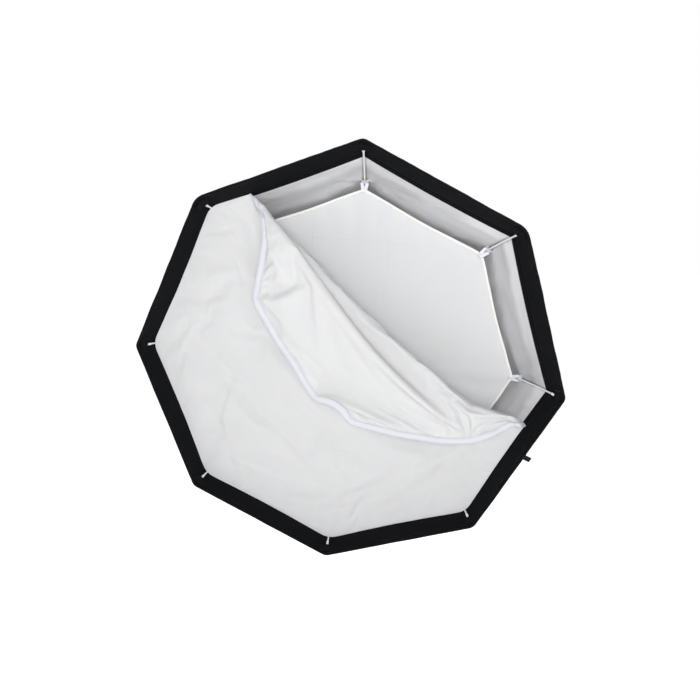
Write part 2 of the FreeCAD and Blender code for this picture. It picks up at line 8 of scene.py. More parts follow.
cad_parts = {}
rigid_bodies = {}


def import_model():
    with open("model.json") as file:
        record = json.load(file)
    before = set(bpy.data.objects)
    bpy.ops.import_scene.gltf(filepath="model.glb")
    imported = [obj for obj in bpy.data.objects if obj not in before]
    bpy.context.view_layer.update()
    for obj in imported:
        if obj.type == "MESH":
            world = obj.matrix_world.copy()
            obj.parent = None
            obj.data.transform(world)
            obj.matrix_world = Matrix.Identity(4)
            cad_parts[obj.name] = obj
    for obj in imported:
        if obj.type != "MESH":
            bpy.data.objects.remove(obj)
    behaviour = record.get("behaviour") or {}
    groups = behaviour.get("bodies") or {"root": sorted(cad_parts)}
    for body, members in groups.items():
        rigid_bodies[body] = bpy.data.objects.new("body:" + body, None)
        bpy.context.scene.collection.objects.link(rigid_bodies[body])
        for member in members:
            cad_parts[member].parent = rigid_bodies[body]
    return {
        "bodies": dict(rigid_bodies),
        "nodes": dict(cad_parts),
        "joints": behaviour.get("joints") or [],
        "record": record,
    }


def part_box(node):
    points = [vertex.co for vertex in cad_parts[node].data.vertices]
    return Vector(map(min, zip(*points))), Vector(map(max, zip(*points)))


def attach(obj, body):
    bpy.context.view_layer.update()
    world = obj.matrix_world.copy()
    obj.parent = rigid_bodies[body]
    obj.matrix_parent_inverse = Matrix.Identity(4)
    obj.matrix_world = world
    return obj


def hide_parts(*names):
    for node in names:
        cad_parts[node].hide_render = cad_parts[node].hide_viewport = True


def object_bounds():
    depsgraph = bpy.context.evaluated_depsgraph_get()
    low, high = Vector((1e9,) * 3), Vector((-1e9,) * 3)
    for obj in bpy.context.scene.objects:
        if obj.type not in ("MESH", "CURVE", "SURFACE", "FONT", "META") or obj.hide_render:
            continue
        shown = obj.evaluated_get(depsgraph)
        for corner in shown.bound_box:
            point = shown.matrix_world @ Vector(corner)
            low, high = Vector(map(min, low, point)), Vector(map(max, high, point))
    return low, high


# Octagonal softbox: mouth towards -Y, top corner towards +Z. Corners count clockwise from the top one,
# seen from the front, and panel N lies between corners N and N + 1.

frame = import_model()
nodes = frame["nodes"]
cad_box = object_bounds()

# Where the photo was taken from.
EYE = Vector((0.113, -1.435, 0.343))

CORNERS = range(1, 9)
LOCKS = range(1, 5)
EIGHTH = math.radians(22.5)
HALF = math.tan(EIGHTH)
BACK = Vector((0, 1, 0))

# A panel's middle line is an arc in a plane through the box's axis. Its centre is this far across from
# the axis and in front of the origin, and the arc runs from the angle at the rim to the one at the ring.
WALL_RADIUS = 0.8813
WALL_ACROSS = -0.358
WALL_FRONT = 0.7792
WALL_RIM = math.radians(25.3)
WALL_RING = math.radians(60)
WALL_LENGTH = WALL_RADIUS * (WALL_RING - WALL_RIM)

# Layers of the wall: how deep each lies inside the shell's face, and how thick it is.
SHELL_THICK = 0.0005
LINING_START, LINING_DEPTH, LINING_THICK = 0.046, 0.0013, 0.0003
BAND_WIDE, BAND_DEPTH, BAND_THICK = 0.052, 0.0018, 0.0005
LOOP_WIDE, LOOP_DEPTH, LOOP_THICK = 0.012, 0.0025, 0.0006

# How bluntly each corner's rim is turned, in metres, from the top corner clockwise.
RIM_BLUNT = [0.014, 0.038, 0.014, 0.020, 0.014, 0.016, 0.014, 0.036]


def smooth(low, high, x):
    t = min(1.0, max(0.0, (x - low) / (high - low)))
    return t * t * (3 - 2 * t)


def steps(low, high, count):
    return [low + (high - low) * i / count for i in range(count + 1)]


def ways(turn):
    """Direction out from the axis at this turn clockwise from the top, and the clockwise one beside it."""
    out = Vector((math.sin(turn), 0, math.cos(turn)))
    beside = Vector((math.cos(turn), 0, -math.sin(turn)))
    return out, beside


def corner_ways(corner):
    return ways(2 * EIGHTH * (corner - 1))


def panel_ways(panel):
    return ways(2 * EIGHTH * (panel - 0.5))


# ---------------------------------------------------------------- meshes


def new_piece(name, points, faces, material, body="softbox"):
    mesh = bpy.data.meshes.new(name)
    mesh.from_pydata([tuple(p) for p in points], [], faces)
    mesh.validate()
    mesh.polygons.foreach_set("use_smooth", [True] * len(mesh.polygons))
    piece = bpy.data.objects.new(name, mesh)
    bpy.context.scene.collection.objects.link(piece)
    mesh.materials.append(material)
    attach(piece, body)
    return piece


def lay_uv(piece, places):
    """Texture coordinates in metres, one for each vertex."""
    layer = piece.data.uv_layers.new(name="cloth")
    for loop in piece.data.loops:
        layer.data[loop.index].uv = places[loop.vertex_index]


def new_grid(name, rows, uv_rows, material, wrap=False):
    """Quads between rows of points. wrap joins the last row to the first."""
    wide = len(rows[0])
    faces = []
    for i in range(len(rows) if wrap else len(rows) - 1):
        a, b = i * wide, (i + 1) % len(rows) * wide
        faces += [(a + j, b + j, b + j + 1, a + j + 1) for j in range(wide - 1)]
    piece = new_piece(name, [p for row in rows for p in row], faces, material)
    lay_uv(piece, [uv for row in uv_rows for uv in row])
    return piece


def thicken(piece, thick, offset=-1):
    solid = piece.modifiers.new("thickness", "SOLIDIFY")
    solid.thickness = thick
    solid.offset = offset
    return piece


def soften(piece, levels=1):
    rounds = piece.modifiers.new("rounding", "SUBSURF")
    rounds.levels = rounds.render_levels = levels
    return piece


def merge(piece):
    """Join the doubled points where a tube of cloth closes on itself."""
    weld = piece.modifiers.new("weld", "WELD")
    weld.merge_threshold = 0.00001
    return piece


# ---------------------------------------------------------------- materials


class Surface:
    """A material, and the few moves that all of them are made with."""

    def __init__(self, name, colour, roughness, **sockets):
        self.material = bpy.data.materials.new(name)
        self.material.use_nodes = True
        self.tree = self.material.node_tree
        self.shader = self.tree.nodes["Principled BSDF"]
        self.colour = colour
        self.roughness = roughness
        self.shader.inputs["Base Color"].default_value = (*colour, 1)
        self.shader.inputs["Roughness"].default_value = roughness
        for socket, number in sockets.items():
            self.shader.inputs[socket.replace("_", " ")].default_value = number
        coordinates = self.tree.nodes.new("ShaderNodeTexCoord")
        self.cloth = coordinates.outputs["UV"]
        self.place = coordinates.outputs["Object"]
        self.heights = []

    def node(self, kind, inputs, **settings):
        made = self.tree.nodes.new(kind)
        for setting, number in settings.items():
            setattr(made, setting, number)
        for socket, given in inputs.items():
            if isinstance(given, bpy.types.NodeSocket):
                self.tree.links.new(given, made.inputs[socket])
            else:
                made.inputs[socket].default_value = given
        return made

    def math(self, operation, *given):
        return self.node("ShaderNodeMath", dict(enumerate(given)), operation=operation).outputs[0]

    def spread(self, source, low, high, to_low=0.0, to_high=1.0):
        inputs = {"Value": source, "From Min": low, "From Max": high, "To Min": to_low, "To Max": to_high}
        return self.node("ShaderNodeMapRange", inputs, interpolation_type="SMOOTHSTEP").outputs["Result"]

    def noise(self, scale, stretch=(1, 1, 1), detail=3.0, source=None, distortion=0.0):
        moved = self.node("ShaderNodeMapping", {"Vector": source or self.place, "Scale": stretch})
        inputs = {"Vector": moved.outputs[0], "Scale": scale, "Detail": detail, "Distortion": distortion}
        return self.node("ShaderNodeTexNoise", inputs).outputs["Fac"]

    def waves(self, pitch, axis, source=None):
        """Even threads of this pitch, in metres, across one axis of the cloth."""
        inputs = {"Vector": source or self.cloth, "Scale": math.pi / (10 * pitch), "Distortion": 0.4,
                  "Detail": 1.0, "Detail Scale": 0.3}
        return self.node("ShaderNodeTexWave", inputs, bands_direction=axis).outputs["Fac"]

    def weave(self, pitch, depth):
        threads = self.math("MULTIPLY", self.waves(pitch, "X"), self.waves(pitch, "Y"))
        self.heights.append((threads, depth))
        return threads

    def raise_by(self, height, depth):
        self.heights.append((height, depth))

    def tint(self, amount, factor, colour):
        """Mix the base colour towards another one where factor is high."""
        socket = self.shader.inputs["Base Color"]
        start = socket.links[0].from_socket if socket.links else (*self.colour, 1)
        share = self.math("MULTIPLY", factor, amount)
        mixed = self.node("ShaderNodeMix", {"Factor": share, 6: start, 7: (*colour, 1)}, data_type="RGBA")
        self.tree.links.new(mixed.outputs[2], socket)

    def wear(self, factor, low, high):
        """Roughness from low to high with factor."""
        self.tree.links.new(self.spread(factor, 0.3, 0.7, low, high), self.shader.inputs["Roughness"])

    def stitch(self, rows, pitch, colour):
        """Rows of stitches along the cloth, at these distances in metres from its first edge."""
        split = self.node("ShaderNodeSeparateXYZ", {"Vector": self.cloth})
        across, along = split.outputs[0], split.outputs[1]
        dash = self.spread(self.math("SINE", self.math("MULTIPLY", along, 2 * math.pi / pitch)), -0.5, -0.1)
        for row in rows:
            away = self.math("ABSOLUTE", self.math("SUBTRACT", across, row))
            line = self.spread(away, 0.0009, 0.0003)
            seam = self.spread(away, 0.0026, 0.0)
            thread = self.math("MULTIPLY", line, dash)
            self.heights.append((thread, 0.0006))
            self.heights.append((seam, -0.0007))
            self.tint(0.8, thread, colour)

    def pack_creases(self):
        """Faint straight creases both ways, where the cloth was folded to be packed."""
        wander = self.noise(3.0, source=self.cloth)
        split = self.node("ShaderNodeSeparateXYZ", {"Vector": self.cloth})
        for axis, apart, shift in ((0, 0.171, 0.03), (1, 0.193, 0.08)):
            moved = self.math("ADD", split.outputs[axis], self.math("MULTIPLY", wander, 0.03))
            away = self.math("PINGPONG", self.math("ADD", moved, shift), apart / 2)
            line = self.spread(away, 0.0035, 0.0)
            patchy = self.spread(self.noise(7.0, source=self.cloth), 0.42, 0.6)
            self.heights.append((self.math("MULTIPLY", line, patchy), 0.0006))

    def finish(self):
        """Join the heights into one bump and return the material."""
        total = None
        for height, depth in self.heights:
            part = self.math("MULTIPLY", height, depth * 1000)
            total = part if total is None else self.math("ADD", total, part)
        if total is not None:
            bump = self.node("ShaderNodeBump", {"Height": total, "Strength": 1.0, "Distance": 0.001})
            self.tree.links.new(bump.outputs[0], self.shader.inputs["Normal"])
        return self.material


def make_nylon():
    """Black coated nylon of the outside."""
    nylon = Surface("black_nylon", (0.0045, 0.005, 0.0068), 0.62, Specular_IOR_Level=0.3)
    nylon.weave(0.0009, 0.00010)
    nylon.tint(0.5, nylon.noise(9.0, detail=5.0), (0.012, 0.012, 0.015))
    nylon.raise_by(nylon.noise(35.0, (1, 1, 1), detail=4.0), 0.0012)
    nylon.wear(nylon.noise(14.0), 0.55, 0.72)
    return nylon.finish()


def make_webbing(name, colour, rows, thread, rough=0.8):
    """Woven tape with stitch rows."""
    tape = Surface(name, colour, rough, Specular_IOR_Level=0.12)
    tape.weave(0.0013, 0.00022)
    tape.tint(0.4, tape.noise(60.0, detail=4.0), [c * 0.82 for c in colour])
    tape.stitch(rows, 0.0042, thread)
    return tape.finish()


def make_silver():
    """Silver-coated lining: a soft, streaky mirror, with painted shade darkening it in from a wandering
    line.
    """
    silver = Surface("silver_lining", (0.86, 0.86, 0.875), 0.40, Metallic=0.6)
    streaks = silver.noise(1.0, (3.5, 19, 1), detail=2.0, source=silver.cloth, distortion=0.5)
    silver.raise_by(silver.noise(16.0, detail=2.0, distortion=1.0), 0.004)
    silver.raise_by(silver.noise(85.0, detail=3.0), 0.0004)
    silver.raise_by(streaks, 0.004)
    silver.weave(0.0010, 0.00006)
    silver.tint(0.5, silver.spread(streaks, 0.38, 0.62), (0.56, 0.56, 0.58))
    # Painted shade: the lining's colour is darkened in from a wandering line about a tenth of a metre from
    # the rim, towards the baffle, where the wall lies in shade.
    along = silver.node("ShaderNodeSeparateXYZ", {"Vector": silver.cloth}).outputs[1]
    wander = silver.math("MULTIPLY", silver.noise(9.0, detail=2.0), 0.055)
    deep = silver.math("ADD", along, wander)
    silver.tint(0.45, silver.spread(deep, 0.100, 0.118), (0.42, 0.42, 0.435))
    silver.wear(streaks, 0.32, 0.50)
    return silver.finish()


# Shallow folds run longer one way of the cloth than the other.
RUMPLE_WAY = (1.0, 0.45, 1.0)


def make_white(name, colour, rough, see_through, rumple=0.0):
    """Thin white polyester that lets some light through. rumple is the depth of its shallow folds."""
    white = Surface(name, colour, rough, Specular_IOR_Level=0.25)
    white.weave(0.0008, 0.00008)
    white.raise_by(white.noise(28.0, detail=4.0, distortion=0.6), 0.0007)
    swell = white.noise(5.0, RUMPLE_WAY, 2.0, white.cloth, 1.4)
    fold = white.math("ABSOLUTE", white.math("SUBTRACT", swell, 0.5))
    white.raise_by(white.spread(fold, 0.12, 0.0), rumple)
    white.pack_creases()
    white.tint(0.5, white.noise(6.0, detail=4.0), [c * 0.955 for c in colour])
    material = white.finish()
    thin = white.node("ShaderNodeBsdfTranslucent", {"Color": (*colour, 1)})
    shaders = {0: see_through, 1: white.shader.outputs[0], 2: thin.outputs[0]}
    both = white.node("ShaderNodeMixShader", shaders)
    output = white.tree.nodes["Material Output"]
    white.tree.links.new(both.outputs[0], output.inputs["Surface"])
    return material


def make_metal(name, colour, rough, worn, grain=(1, 1, 1), scale=220.0, depth=0.00006, **sockets):
    """Metal with a fine grain and edges worn to another colour."""
    metal = Surface(name, colour, rough, **sockets)
    metal.raise_by(metal.noise(scale, grain, detail=5.0), depth)
    edge = metal.node("ShaderNodeNewGeometry", {}).outputs["Pointiness"]
    scuffs = metal.math("MULTIPLY", metal.spread(edge, 0.53, 0.60), metal.noise(90.0, detail=6.0))
    metal.tint(0.8, scuffs, worn)
    metal.wear(metal.noise(30.0, detail=5.0), rough * 0.8, rough * 1.25)
    return metal.finish()


NYLON = make_nylon()
BAND = make_webbing("lip_band_nylon", (0.003, 0.0033, 0.0048), [0.008, 0.038, 0.0505], (0.012, 0.012, 0.014))
LOOP = make_webbing("loop_pile", (0.003, 0.003, 0.0045), [0.001, 0.011], (0.014, 0.014, 0.016), 0.95)
EDGING = make_webbing("rim_edging", (0.003, 0.0033, 0.0048), [0.0045], (0.016, 0.016, 0.02))
SEAM = make_webbing("seam_webbing", (0.010, 0.010, 0.012), [0.002, 0.014], (0.03, 0.03, 0.034))
POCKET = make_webbing("pocket_webbing", (0.003, 0.0032, 0.0045), [0.003, 0.047], (0.02, 0.02, 0.024))
SILVER = make_silver()
BAFFLE = make_white("baffle_polyester", (0.87, 0.872, 0.875), 0.85, 0.45)
DIFFUSER = make_white("diffuser_polyester", (0.875, 0.875, 0.878), 0.8, 0.5, 0.0030)
WHITE_TAPE = make_webbing("white_tape", (0.63, 0.633, 0.68), [0.0025, 0.0135], (0.54, 0.54, 0.58))
BINDING = make_webbing("white_binding", (0.76, 0.745, 0.72), [0.0045], (0.66, 0.65, 0.62))
PIPING = make_webbing("pink_edge", (0.80, 0.66, 0.62), [0.0], (0.70, 0.56, 0.52))


# ---------------------------------------------------------------- walls


def apothem_at(along):
    """Distance from the axis to a panel's middle line at this distance from the rim."""
    return WALL_ACROSS + WALL_RADIUS * math.cos(WALL_RIM + along / WALL_RADIUS)


def rim_blunt(corner, along):
    """Radius of the ridge at this distance from the rim."""
    return 0.004 + RIM_BLUNT[(corner - 1) % 8] * (1 - smooth(0, 0.045, along))


def wall_dip(panel, across, along):
    """How far the cloth sags inward between the ridges: a shallow hollow, slack, gathers and a wavy rim."""
    middle = 1 - across * across
    far = along / WALL_LENGTH
    hollow = 0.011 * middle * math.sin(math.pi * min(1.0, far)) ** 0.8
    seed = Vector((panel * 3.7 + across * 1.1, far * 5.0, across * 2.3))
    slack = 0.0022 * middle * smooth(0.03, 0.15, along) * noise.noise(seed)
    gathers = 0.0014 * middle * smooth(0.5, 1.0, far) * math.sin(across * 9 + panel)
    edge = 1 - smooth(0, 0.07, along)
    wavy = 0.0016 * edge * middle * noise.noise(Vector((across * 3.1, panel * 5.3, 0.7)))
    return hollow + slack + gathers + wavy


def wall_at(panel, across, along, depth):
    """A place on a panel: across runs from -1 to 1 between its ridges, along is metres from the rim."""
    angle = WALL_RIM + along / WALL_RADIUS
    apothem = apothem_at(along)
    reach = across * apothem * HALF
    blunt = rim_blunt(panel + (1 if across > 0 else 0), along)
    straight = (apothem - blunt) * HALF
    bend = 0.0
    out, side = apothem, reach
    if abs(reach) > straight:
        bend = min(EIGHTH, (abs(reach) - straight) / blunt * EIGHTH / HALF)
        out = apothem - blunt + blunt * math.cos(bend)
        side = math.copysign(straight + blunt * math.sin(bend), reach)
    outward, beside = panel_ways(panel)
    tilt = math.copysign(bend, reach)
    normal = (outward * math.cos(tilt) + beside * math.sin(tilt)) * math.cos(angle) + BACK * math.sin(angle)
    y = -WALL_FRONT + WALL_RADIUS * math.sin(angle)
    inside = depth + wall_dip(panel, across, along)
    return outward * out + beside * side + BACK * y - normal * inside


def ridge_steps(count):
    """Steps from -1 to 1, finer towards both ridges."""
    return [math.sin(math.pi / 2 * x) * 0.35 + x * 0.65 for x in steps(-1, 1, count)]


def make_gore(name, panel, start, depth, thick, material, node):
    """One panel of the shell or of the lining, from start metres from the rim back to the ring."""
    lines = steps(start, WALL_LENGTH, 44)
    if start == 0:
        lines = steps(0, 0.05, 8)[:-1] + steps(0.05, WALL_LENGTH, 40)
    spots = ridge_steps(30)
    rows, uv_rows = [], []
    for along in lines:
        wide = apothem_at(along) * HALF
        rows.append([wall_at(panel, across, along, depth) for across in spots])
        uv_rows.append([(across * wide + 0.7 * panel, along) for across in spots])
    gore = thicken(new_grid(name, rows, uv_rows, material), thick)
    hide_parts(node)


def make_ring(name, start, end, depth, thick, material, count=4):
    """A strip of cloth that follows the walls all the way round, from start to end metres from the rim."""
    rows, uv_rows = [], []
    total = 0.0
    before = None
    for panel in CORNERS:
        for across in ridge_steps(30)[:-1]:
            row = [wall_at(panel, across, along, depth) for along in steps(start, end, count)]
            if before is not None:
                total += (row[0] - before).length
            before = row[0]
            rows.append(row)
            uv_rows.append([(along, total) for along in steps(start, end, count)])
    return thicken(new_grid(name, rows, uv_rows, material, wrap=True), thick)


EDGING_WIDE = 0.009


def make_roll(name, along, depth, half_along, half_thick, material, pucker=0.0):
    """A rolled edge: an oval section carried round the walls. pucker is how unevenly it swells."""
    rows, uv_rows = [], []
    total = 0.0
    before = None
    turns = steps(0, 2 * math.pi, 10)
    for panel in CORNERS:
        for across in ridge_steps(36)[:-1]:
            swell = 1 + pucker * noise.noise(Vector((panel * 4.1 + across * 16, 0.3, 1.7)))
            row = []
            for turn in turns[:-1]:
                s = along + half_along * math.cos(turn)
                d = depth - half_thick * swell * math.sin(turn)
                here = wall_at(panel, across, max(0.0, s), d)
                if s < 0:
                    ahead = wall_at(panel, across, 0.0, d) - wall_at(panel, across, 0.002, d)
                    here += ahead / 0.002 * -s
                row.append(here)
            row.append(row[0])
            if before is not None:
                total += (row[0] - before).length
            before = row[0]
            rows.append(row)
            uv_rows.append([(turn / (2 * math.pi) * EDGING_WIDE, total) for turn in turns])
    return merge(new_grid(name, rows, uv_rows, material, wrap=True))


def make_walls():
    for panel in CORNERS:
        make_gore(
            f"shell_gore_{panel}", panel, 0, 0.0, SHELL_THICK, NYLON,
            f"shell_panel_{panel}",
        )
        make_gore(
            f"lining_gore_{panel}", panel, LINING_START, LINING_DEPTH, LINING_THICK, SILVER,
            f"lining_panel_{panel}",
        )
    band = make_ring("lip_band_cloth", 0.001, BAND_WIDE, BAND_DEPTH, BAND_THICK, BAND, 10)
    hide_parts("lip_band")
    piping = make_roll("band_piping", BAND_WIDE + 0.0006, 0.0021, 0.0008, 0.0007, PIPING, 0.3)
    loop_near, loop_far = BAND_WIDE - LOOP_WIDE, BAND_WIDE - 0.0004
    loop = make_ring("loop_tape_pile", loop_near, loop_far, LOOP_DEPTH, LOOP_THICK, LOOP)
    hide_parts("loop_tape")
    rim = make_roll("rim_roll", 0.0025, 0.0012, 0.0045, 0.0026, EDGING, 0.35)
    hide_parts("rim_binding")
    hem = make_roll("rear_hem_roll", WALL_LENGTH - 0.003, 0.0008, 0.004, 0.0022, EDGING, 0.9)
    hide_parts("rear_hem")


def make_seams():
    """Tape over each outside ridge, joined into one piece."""
    half_wide, edge_lift, crown = 0.008, 0.0006, 0.0003
    points, uvs, faces = [], [], []
    lines = steps(0.004, WALL_LENGTH - 0.006, 60)
    for corner in CORNERS:
        for along in lines:
            wide = apothem_at(along) * HALF
            start = len(points)
            for k in range(-4, 5):
                away = k / 4 * half_wide
                across = 1 - abs(away) / wide
                panel, across = (corner - 1, across) if away < 0 else (corner, -across)
                points.append(wall_at(panel or 8, across, along, -edge_lift - crown * (abs(k) < 4)))
                uvs.append((away + half_wide, along))
            if along != lines[0]:
                faces += [(start - 9 + j, start + j, start + j + 1, start - 8 + j) for j in range(8)]
    tape = new_piece("seam_webbing", points, faces, SEAM)
    lay_uv(tape, uvs)
    thicken(tape, 0.0005)
    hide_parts("seam_tapes")


def ridge_frame(corner, along):
    """The ridge's place at this distance from the rim, with the ways inward and sideways."""
    place = wall_at(corner, -1, along, 0.0)
    ahead = wall_at(corner, -1, along + 0.001, 0.0)
    out, beside = corner_ways(corner)
    inward = beside.cross((ahead - place).normalized()).normalized()
    if inward.dot(out) > 0:
        inward = -inward
    return place, inward, beside


def make_bridges(name, near, far, profile, material, thick, node, lines=6):
    """Cloth over the rod at each ridge. profile(share) gives its (beside, inward) places across."""
    points, uvs, faces = [], [], []
    wide = len(profile(0))
    for corner in CORNERS:
        for i, along in enumerate(steps(near, far, lines)):
            place, inward, beside = ridge_frame(corner, along)
            curl = 0.0006 * math.sin(i * 1.3 + corner)
            run = 0.0
            places = profile(i / lines)
            for j, (side, deep) in enumerate(places):
                points.append(place + beside * side + inward * (deep + curl))
                run += 0.0 if j == 0 else math.dist(places[j - 1], places[j])
                uvs.append((run, along))
            if i:
                a, b = len(points) - 2 * wide, len(points) - wide
                faces += [(a + j, b + j, b + j + 1, a + j + 1) for j in range(wide - 1)]
    piece = new_piece(name, points, faces, material)
    lay_uv(piece, uvs)
    soften(thicken(piece, thick))
    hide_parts(node)


POCKET_NEAR, POCKET_FAR, POCKET_HALF = 0.0065, 0.0222, 0.017
TAB_NEAR, TAB_FAR = 0.121, 0.131


def pocket_profile(share):
    """Across a corner pocket: flat on the band at its closed outer end, taut over the cap at its mouth."""
    places = []
    for side in steps(-POCKET_HALF, POCKET_HALF, 12):
        on_band = abs(side) * HALF + 0.0026
        taut = POCKET_HALF * HALF + 0.0028 + 0.0005 * math.cos(side / 0.006)
        lift = min(1.0, share * 1.25) if abs(side) < POCKET_HALF * 0.9 else 0.0
        places.append((side, on_band + max(0.0, taut - on_band) * lift))
    return places


def tab_profile(_):
    """Across a wall loop: a small arch over the rod, the same all along it."""
    side = [(0.0085, 0.0052), (0.006, 0.0062), (0.0032, 0.0085)]
    return [(-x, deep) for x, deep in side] + [(0, 0.0096)] + side[::-1]


def make_corners():
    make_bridges(
        "corner_pocket_cloth", POCKET_NEAR, POCKET_FAR, pocket_profile, POCKET, 0.001,
        "corner_pockets",
    )
    make_bridges(
        "wall_tab_loops", TAB_NEAR, TAB_FAR, tab_profile, WHITE_TAPE, 0.0007,
        "wall_tabs", 4,
    )


# ---------------------------------------------------------------- baffle


# Keeps the baffle's texture coordinates above zero.
UV_SHIFT = 0.4
BAFFLE_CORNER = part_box("baffle_binding")[1][0]
BAFFLE_Y = (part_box("baffle_sheet")[0][1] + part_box("baffle_sheet")[1][1]) / 2


def baffle_edge(turn):
    """Distance from the axis to the baffle's edge, which pulls in a little between its corners."""
    eighth = turn % (2 * EIGHTH)
    straight = BAFFLE_CORNER * math.cos(EIGHTH) / math.cos(eighth - EIGHTH)
    return straight - 0.0035 * math.sin(math.pi * eighth / (2 * EIGHTH)) ** 2


def baffle_at(turn, share):
    """A place on the baffle, this share of the way out: slack in the middle, pulled at the corners."""
    reach = baffle_edge(turn) * share
    place = ways(turn)[0] * reach
    toward = math.cos(8 * turn) * 0.5 + 0.5
    pull = 0.0022 * toward * share**3 * math.sin(turn * 37 + share * 4)
    slack = 0.006 * (1 - share**2) + 0.0025 * noise.noise(place * 5.0)
    fine = 0.0009 * noise.noise(place * 19.0)
    return place + BACK * (BAFFLE_Y + slack * 0.6 + pull + fine * (1 - share**4))


def make_baffle():
    rings = 44
    turns = steps(0, 2 * math.pi, 256)[:-1]
    around = len(turns)
    points, uvs, faces = [baffle_at(0, 0)], [(UV_SHIFT, UV_SHIFT)], []
    for ring in range(1, rings + 1):
        for turn in turns:
            place = baffle_at(turn, ring / rings)
            points.append(place)
            uvs.append((place.x + UV_SHIFT, place.z + UV_SHIFT))
    faces += [(0, 1 + (k + 1) % around, 1 + k) for k in range(around)]
    for ring in range(rings - 1):
        a, b = 1 + ring * around, 1 + (ring + 1) * around
        faces += [(a + k, a + (k + 1) % around, b + (k + 1) % around, b + k) for k in range(around)]
    cloth = new_piece("baffle_cloth", points, faces, BAFFLE)
    lay_uv(cloth, uvs)
    thicken(cloth, 0.0004, 0)
    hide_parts("baffle_sheet")
    binding = make_baffle_binding(turns)


def make_baffle_binding(turns):
    """Tape folded over the baffle's edge."""
    section = [(0.0, -0.0012), (0.0026, -0.0014), (0.0052, -0.0010), (0.0056, 0.0)]
    section += [(0.0052, 0.0010), (0.0026, 0.0014), (0.0, 0.0012), (-0.0008, 0.0)]
    rows, uv_rows = [], []
    total = 0.0
    for turn in turns:
        edge = baffle_at(turn, 1)
        out = ways(turn)[0]
        swell = 1 + 0.3 * noise.noise(edge * 60)
        row = [edge + out * 0.0004 - out * a + BACK * b * swell for a, b in section]
        total += (edge - rows[-1][0]).length if rows else 0.0
        rows.append(row + row[:1])
        uv_rows.append([(0.0015 * j, total) for j in range(9)])
    binding = merge(new_grid("baffle_binding_tape", rows, uv_rows, BINDING, wrap=True))
    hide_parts("baffle_binding")
    return binding


def make_straps():
    """A forked white strap at each corner of the baffle, one leg either side of the rod."""
    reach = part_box("baffle_tabs")[1][0]
    points, uvs, faces = [], [], []
    for corner in CORNERS:
        out, beside = corner_ways(corner)
        for leg in (-1, 1):
            start = len(points)
            twist = 0.0012 * math.sin(corner * 2.1 + leg)
            for i in range(7):
                t = i / 6
                middle = leg * (0.0015 + 0.0048 * t**1.2)
                wide = 0.0042 + 0.0005 * math.sin(5 * t)
                r = BAFFLE_CORNER - 0.009 + (reach - BAFFLE_CORNER + 0.0065) * t
                lift = -0.0017 + twist * math.sin(math.pi * t)
                for j in (-1, 0, 1):
                    points.append(out * r + beside * (middle + j * wide) + BACK * (BAFFLE_Y + lift))
                    uvs.append((0.008 + j * 0.0025, r))
                if i:
                    a = start + 3 * (i - 1)
                    faces += [(a, a + 3, a + 4, a + 1), (a + 1, a + 4, a + 5, a + 2)]
    straps = new_piece("baffle_straps", points, faces, WHITE_TAPE)
    lay_uv(straps, uvs)
    soften(thicken(straps, 0.0009, 0))
    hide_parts("baffle_tabs")


# ---------------------------------------------------------------- diffuser

# One flat octagon of cloth. Its upper right part is off its tape and folded forward over the line
# between two places on the edge, PEEL_START on the side of panel 8 and PEEL_END on that of panel 3.

DIFFUSER_CORNER = 0.4512
DIFFUSER_Y = (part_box("diffuser_sheet")[0][1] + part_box("diffuser_sheet")[1][1]) / 2
APOTHEM = DIFFUSER_CORNER * math.cos(EIGHTH)
HEM_WIDE = 0.016
HEM_ROWS = 3
CLOTH_STEP = 0.0095
GRAIN_TURN = Matrix.Rotation(0.35, 2)
# Radius the cloth is rolled over the fold with, and the share of the fold's sag that it starts with.
FOLD_BEND = 0.0095
FOLD_SHARE = 0.6
# Frames over which the hem is led into place, and in which the cloth settles.
PULL_FRAMES = 14
DRAPE_FRAMES = 24


def flat_corner(corner, inset=0.0):
    """A corner of the flat cloth, or of a line this far in from its sides."""
    out, _ = corner_ways(corner)
    return Vector((out.x, out.z)) * (DIFFUSER_CORNER - inset / math.cos(EIGHTH))


PEEL_START = flat_corner(8).lerp(flat_corner(1), 0.29)
PEEL_END = flat_corner(3).lerp(flat_corner(4), 0.255)
CREASE_WAY = (PEEL_END - PEEL_START).normalized()
CREASE_OUT = Vector((-CREASE_WAY.y, CREASE_WAY.x))


def inset_from(p, panel):
    """Distance of a flat place from one side."""
    turn = 2 * EIGHTH * (panel - 0.5)
    return APOTHEM - p.x * math.sin(turn) - p.y * math.cos(turn)


def flat_inset(p):
    """Distance of a flat place from the nearest side."""
    return min(inset_from(p, panel) for panel in CORNERS)


def hem_uv(p):
    """Distance in from the nearest side, and along it."""
    turn = 2 * EIGHTH * (min(CORNERS, key=lambda panel: inset_from(p, panel)) - 0.5)
    return flat_inset(p), p.x * math.cos(turn) - p.y * math.sin(turn)


def past_crease(p):
    """Distance of a flat place past the straight line between the fold's ends."""
    return (p - PEEL_START).dot(CREASE_OUT)


